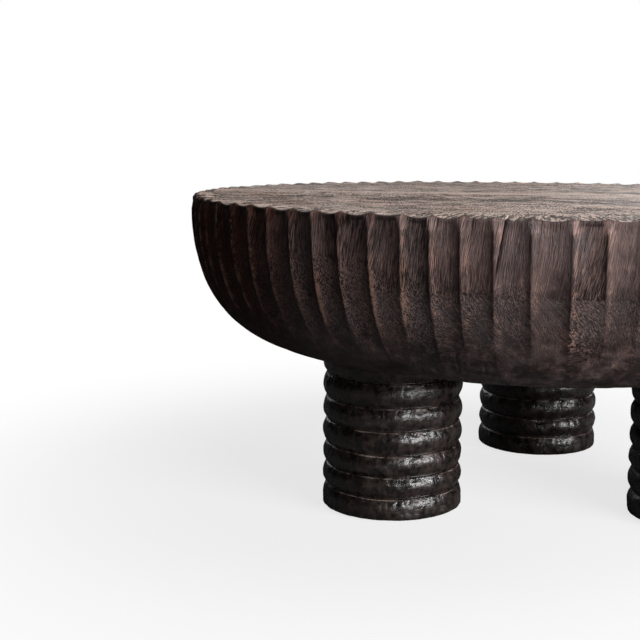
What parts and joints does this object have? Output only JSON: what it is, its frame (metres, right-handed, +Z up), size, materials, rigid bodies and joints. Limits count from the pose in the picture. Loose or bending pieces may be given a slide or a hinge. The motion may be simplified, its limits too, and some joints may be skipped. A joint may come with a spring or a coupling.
{
  "type": "drum table",
  "caption": "Low round drum table: a fluted bowl of solid dark timber with an end-grain top, on stout ringed legs.",
  "frame": {"origin": "middle of the floor under the table, on the bowl's axis, level with the undersides of the felt pads", "axes": "+Z up along the bowl's axis, +Y towards the rear leg, +X to the right as seen from the front"},
  "size_m": [1.06, 1.06, 0.445],
  "materials": {
    "bowl_wood": "satin",
    "leg_wood": "satin",
    "bolt_steel": "satin",
    "insert_brass": "satin",
    "pad_felt": "matte"
  },
  "bodies": {
    "root": {"drum_body": "bowl_wood", "leg_rear": "leg_wood", "leg_bolt_rear": "bolt_steel", "bolt_washer_rear": "bolt_steel", "threaded_insert_rear": "insert_brass", "felt_pad_rear": "pad_felt", "leg_left": "leg_wood", "leg_bolt_left": "bolt_steel", "bolt_washer_left": "bolt_steel", "threaded_insert_left": "insert_brass", "felt_pad_left": "pad_felt", "leg_right": "leg_wood", "leg_bolt_right": "bolt_steel", "bolt_washer_right": "bolt_steel", "threaded_insert_right": "insert_brass", "felt_pad_right": "pad_felt"}
  },
  "joints": []
}
